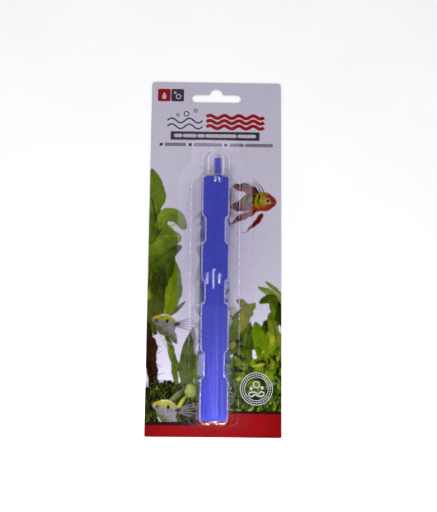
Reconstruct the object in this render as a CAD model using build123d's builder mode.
"""Porous air stone in its retail pack: a printed hanging card, a thermoformed clear blister
sealed to it, and the bonded-grain stone with its air stem lying in the blister's channel.

The pack lies on its back. X runs across the card, Y along it towards the hang slot, and Z
away from the printed face. The origin is the middle of the card's back face. Millimetres.
"""

import os

from build123d import *

# Card
CARD_WIDTH = 85.0
CARD_LENGTH = 230.0
CARD_THICK = 0.6
CARD_HEAD_CORNER = 2.0
CARD_FOOT_CORNER = 1.0
SLOT_WIDTH = 32.2  # the usual retail peg slot
SLOT_HEIGHT = 5.3
SLOT_Y = 103.9
HUMP_RADIUS = 4.3
HUMP_Y = 106.1
HUMP_BLEND = 1.4

# Heat-seal lacquer between the card and the flange
SEAL_THICK = 0.05
SEAL_MARGIN = 0.4  # bare rim left at the flange's outer and inner edges

# Blister: the formed sheet and its flange
FORM_Y = 0.9  # the blister's outlines are measured from this height up the card
SHEET = 0.35
FLANGE_Z = CARD_THICK + SEAL_THICK
FLANGE_HALF = 24.3
FLANGE_END = -111.0
FLANGE_SHOULDER = 51.5  # full width below this
FLANGE_CORNER = 10.0
FLANGE_BLEND = 9.0
NECK_HALF = 16.2
NECK_END = 75.4
NECK_FOOT = 60.5  # neck width above this
NECK_CORNER = 5.0

# Blister: the low step round the foot of the channel
STEP_HEIGHT = 1.75
STEP_DRAFT = 0.7
STEP_HALF = 16.6
STEP_END = -109.4
STEP_SHOULDER = 46.5
STEP_NECK_HALF = 9.8
STEP_NECK_FOOT = 53.0
STEP_NOSE = 68.6
STEP_NOSE_CORNER = 7.5
STEP_CORNER = 5.0
STEP_BEND = 3.0
STEP_BLEND = 0.9

# Blister: the channel over the stone, pinched by three waists
CHANNEL_MID = 9.0
CHANNEL_TOP = 20.4
CHANNEL_BEND = 0.9
CHANNEL_BLEND = 0.9
WAISTS = [(18.3, 3.9), (-21.4, -34.1), (-65.4, -78.8)]  # upper and lower end of each
TOE_LOBE = 3.6  # half width of the flat between the two toe lobes
TOE_DENT_HALF = 1.7
TOE_DENT = 1.2

# Blister: the round-nosed pod over the air stem
POD_TOP = 14.6
POD_FOOT_HALF = 8.6
POD_TOP_HALF = 5.4
POD_FOOT_NOSE = 67.2
POD_TOP_NOSE = 63.4
POD_BASE = 40.0  # where the pod runs out inside the channel
POD_NOSE_ROUND = 0.86  # corner radius at the nose, as a share of the half width
POD_BLEND = 2.2

# Stone
STONE_RADIUS = 9.5
STONE_LENGTH = 152.0  # the six-inch size
STONE_HEAD = 47.0  # the end that holds the air stem
STONE_GAP = 0.1  # between the stone and the card
STONE_Z = CARD_THICK + STONE_GAP + STONE_RADIUS
STONE_RIM = 0.7
STONE_TOE = 3.6  # rounding of the closed end
BORE_RADIUS = 3.3
BORE_DEPTH = 138.0

# Air stem, set a little off the stone's axis
STEM_X = 1.2
STEM_RADIUS = 2.25
STEM_BORE = 1.25
STEM_REACH = 13.6  # length outside the stone
STEM_TIP = 0.5
SHANK_RADIUS = 2.6  # thicker part between the barbs and the shoulder
SHOULDER_REACH = 0.8  # how far the shoulder stands out of the stone
ROOT_DEPTH = 15.0  # length inside the stone
ROOT_RADIUS = 3.22
BARB_COUNT = 4
BARB_PITCH = 3.0
BARB_DEPTH = 0.6

# Adhesive round the stem where it enters the stone
BEAD_DEPTH = 1.8
BEAD_CROWN = 0.6  # height against the stem
BEAD_RADIUS = 3.7
BEAD_KNEE = (0.3, 3.2)  # height and radius of the bend in its crown


def rounded_face(right, bend, corners):
    """Fills a left-right symmetric outline in the current sketch.

    right holds the points of the right-hand side, from the head to the toe. corners pairs a
    height with the radius of the corners at that height. Every other corner gets bend.
    """
    with BuildLine() as edge:
        Polyline(*right, *[(-x, y) for x, y in reversed(right)], close=True)
    make_face(edge.edges())
    for y, radius in corners:
        fillet([v for v in vertices() if abs(v.Y - y) < 0.001], radius)
    special = [y for y, radius in corners]
    plain = [(x, y) for x, y in right if y not in special]
    if plain and bend:
        bends = [
            v for v in vertices()
            if any(abs(abs(v.X) - x) + abs(v.Y - y) < 0.002 for x, y in plain)
        ]
        fillet(bends, bend)


def channel_outline(half, waist, lead, run, head, toe, shoulder):
    """Right-hand side of the stone's channel at one height, seen from above.

    half and waist are the half widths of the pods and of the waists between them. lead
    shortens each waist at both ends, run is the length over which it flares out, and
    shoulder is the size of the chamfers at the head and the toe.
    """
    right = [(half - shoulder, head), (half, head - shoulder)]
    for upper, lower in WAISTS:
        right += [
            (half, upper - lead + run),
            (waist, upper - lead),
            (waist, lower + lead),
            (half, lower + lead - run),
        ]
    right += [
        (half, toe + shoulder),
        (half - shoulder, toe),
        (TOE_LOBE, toe),
        (TOE_DENT_HALF, toe + TOE_DENT),
    ]
    return right


def channel_solid(inset):
    """The channel over the stone, with every wall moved in by inset."""
    top_z = CHANNEL_TOP - inset
    levels = [
        (FLANGE_Z, 15.3, 12.5, 2.0, 3.5, 48.9, -108.6, 4.6),
        (CHANNEL_MID, 12.9, 12.1, 1.0, 2.6, 48.1, -108.4, 3.6),
        (top_z, 8.4, 6.2, 0.0, 2.3, 47.2, -107.9, 2.2),
    ]
    with BuildPart() as channel:
        for z, half, waist, lead, run, head, toe, shoulder in levels:
            with BuildSketch(Plane.XY.offset(z)):
                right = channel_outline(
                    half - inset, waist - inset, lead, run, head - inset, toe + inset, shoulder
                )
                rounded_face(right, CHANNEL_BEND, [])
        loft(ruled=True)
        fillet(channel.faces().sort_by(Axis.Z)[-1].edges(), CHANNEL_BLEND - inset)
    return channel.part


def step_outline(inset):
    """Fills the low step's outline, moved in by inset, in the current sketch."""
    nose = STEP_NOSE - inset
    end = STEP_END + inset
    rounded_face(
        [
            (STEP_NECK_HALF - inset, nose),
            (STEP_NECK_HALF - inset, STEP_NECK_FOOT),
            (STEP_HALF - inset, STEP_SHOULDER),
            (STEP_HALF - inset, end),
        ],
        STEP_BEND,
        [(nose, STEP_NOSE_CORNER), (end, STEP_CORNER)],
    )


def step_solid(inset):
    """The low step round the channel's foot, with every wall moved in by inset."""
    with BuildPart() as step:
        with BuildSketch(Plane.XY.offset(FLANGE_Z)):
            step_outline(inset)
        with BuildSketch(Plane.XY.offset(FLANGE_Z + STEP_HEIGHT - inset)):
            step_outline(inset + STEP_DRAFT)
        loft(ruled=True)
        fillet(step.faces().sort_by(Axis.Z)[-1].edges(), STEP_BLEND - inset)
    return step.part


def pod_solid(inset):
    """The pod over the air stem, with every wall moved in by inset."""
    levels = [
        (FLANGE_Z, POD_FOOT_HALF - inset, POD_FOOT_NOSE - inset),
        (POD_TOP - inset, POD_TOP_HALF - inset, POD_TOP_NOSE - inset),
    ]
    with BuildPart() as pod:
        for z, half, nose in levels:
            with BuildSketch(Plane.XY.offset(z)):
                rounded_face([(half, nose), (half, POD_BASE)], 0, [(nose, half * POD_NOSE_ROUND)])
        loft(ruled=True)
        fillet(pod.faces().sort_by(Axis.Z)[-1].edges(), POD_BLEND - inset)
    return pod.part


def formed_solid(inset):
    """Everything the sheet is drawn up into, as one solid, in its place on the card."""
    return Pos(0, FORM_Y, 0) * (channel_solid(inset) + pod_solid(inset) + step_solid(inset))


def blister_level(z):
    """The plane at height z that the blister's outlines are drawn on."""
    return Plane(origin=(0, FORM_Y, z), x_dir=(1, 0, 0), z_dir=(0, 0, 1))


def flange_outline(inset):
    """Fills the flange's outline, moved in by inset, in the current sketch."""
    head = NECK_END - inset
    end = FLANGE_END + inset
    rounded_face(
        [
            (NECK_HALF - inset, head),
            (NECK_HALF - inset, NECK_FOOT),
            (FLANGE_HALF - inset, FLANGE_SHOULDER),
            (FLANGE_HALF - inset, end),
        ],
        FLANGE_BLEND,
        [(head, NECK_CORNER), (end, FLANGE_CORNER)],
    )


def stem_half_section():
    """Half section of the stem beside its axis, as points along and out from the axis."""
    tip = STONE_HEAD + STEM_REACH
    root = STONE_HEAD - ROOT_DEPTH
    points = [
        (root, STEM_BORE),
        (tip, STEM_BORE),
        (tip, STEM_RADIUS - STEM_TIP),
        (tip - STEM_TIP, STEM_RADIUS),
        (STONE_HEAD + SHOULDER_REACH, STEM_RADIUS),
        (STONE_HEAD + SHOULDER_REACH, SHANK_RADIUS),
        (root + BARB_COUNT * BARB_PITCH, SHANK_RADIUS),
    ]
    for number in reversed(range(BARB_COUNT)):
        foot = root + number * BARB_PITCH
        points += [
            (foot + BARB_PITCH * 0.8, ROOT_RADIUS),
            (foot, ROOT_RADIUS - BARB_DEPTH),
        ]
    return points


def bead_half_section():
    """Half section of the adhesive bead beside the stem's axis."""
    knee_height, knee_radius = BEAD_KNEE
    return [
        (STONE_HEAD - BEAD_DEPTH, SHANK_RADIUS),
        (STONE_HEAD + BEAD_CROWN, SHANK_RADIUS),
        (STONE_HEAD + knee_height, knee_radius),
        (STONE_HEAD, BEAD_RADIUS),
        (STONE_HEAD, BORE_RADIUS),
        (STONE_HEAD - BEAD_DEPTH, BORE_RADIUS),
    ]


stem_axis = Axis((STEM_X, 0, STONE_Z), (0, 1, 0))
stem_section = Plane(origin=(STEM_X, 0, STONE_Z), x_dir=(0, 1, 0), z_dir=(1, 0, 0))

with BuildPart() as backing_card:
    with BuildSketch() as card_face:
        Rectangle(CARD_WIDTH, CARD_LENGTH)
        fillet(card_face.vertices().group_by(Axis.Y)[-1], CARD_HEAD_CORNER)
        fillet(card_face.vertices().group_by(Axis.Y)[0], CARD_FOOT_CORNER)
        with Locations((0, SLOT_Y)):
            SlotOverall(SLOT_WIDTH, SLOT_HEIGHT, mode=Mode.SUBTRACT)
        with Locations((0, HUMP_Y)):
            Circle(HUMP_RADIUS, mode=Mode.SUBTRACT)
        bar_top = SLOT_Y + SLOT_HEIGHT / 2
        notches = [
            v for v in card_face.vertices() if abs(v.Y - bar_top) < 0.001 and abs(v.X) < HUMP_RADIUS
        ]
        fillet(notches, HUMP_BLEND)
    extrude(amount=CARD_THICK)

with BuildPart() as heat_seal_band:
    with BuildSketch(blister_level(CARD_THICK)):
        flange_outline(SEAL_MARGIN)
    extrude(amount=SEAL_THICK)
    with BuildSketch(blister_level(CARD_THICK)):
        step_outline(-SEAL_MARGIN)
    extrude(amount=SEAL_THICK, mode=Mode.SUBTRACT)

with BuildPart() as blister_shell:
    with BuildSketch(blister_level(FLANGE_Z)):
        flange_outline(0)
    extrude(amount=SHEET)
    add(formed_solid(0))
    add(formed_solid(SHEET), mode=Mode.SUBTRACT)

with BuildPart() as stone_bar:
    with BuildSketch(Plane(origin=(0, STONE_HEAD, STONE_Z), x_dir=(1, 0, 0), z_dir=(0, -1, 0))):
        Circle(STONE_RADIUS)
    extrude(amount=STONE_LENGTH)
    ends = stone_bar.faces().sort_by(Axis.Y)
    fillet(ends[-1].edges(), STONE_RIM)
    fillet(ends[0].edges(), STONE_TOE)
    with BuildSketch(Plane(origin=(STEM_X, STONE_HEAD, STONE_Z), x_dir=(1, 0, 0), z_dir=(0, -1, 0))):
        Circle(BORE_RADIUS)
    extrude(amount=BORE_DEPTH, mode=Mode.SUBTRACT)

with BuildPart() as air_stem:
    with BuildSketch(stem_section):
        with BuildLine() as stem_edge:
            Polyline(*stem_half_section(), close=True)
        make_face(stem_edge.edges())
    revolve(axis=stem_axis)

with BuildPart() as stem_glue_bead:
    with BuildSketch(stem_section):
        with BuildLine() as bead_edge:
            Polyline(*bead_half_section(), close=True)
        make_face(bead_edge.edges())
    revolve(axis=stem_axis)

backing_card.part.label = "backing_card"
heat_seal_band.part.label = "heat_seal_band"
blister_shell.part.label = "blister_shell"
stone_bar.part.label = "stone_bar"
air_stem.part.label = "air_stem"
stem_glue_bead.part.label = "stem_glue_bead"

os.makedirs("parts", exist_ok=True)
export_step(backing_card.part, "parts/backing_card.step")
export_step(heat_seal_band.part, "parts/heat_seal_band.step")
export_step(blister_shell.part, "parts/blister_shell.step")
export_step(stone_bar.part, "parts/stone_bar.step")
export_step(air_stem.part, "parts/air_stem.step")
export_step(stem_glue_bead.part, "parts/stem_glue_bead.step")
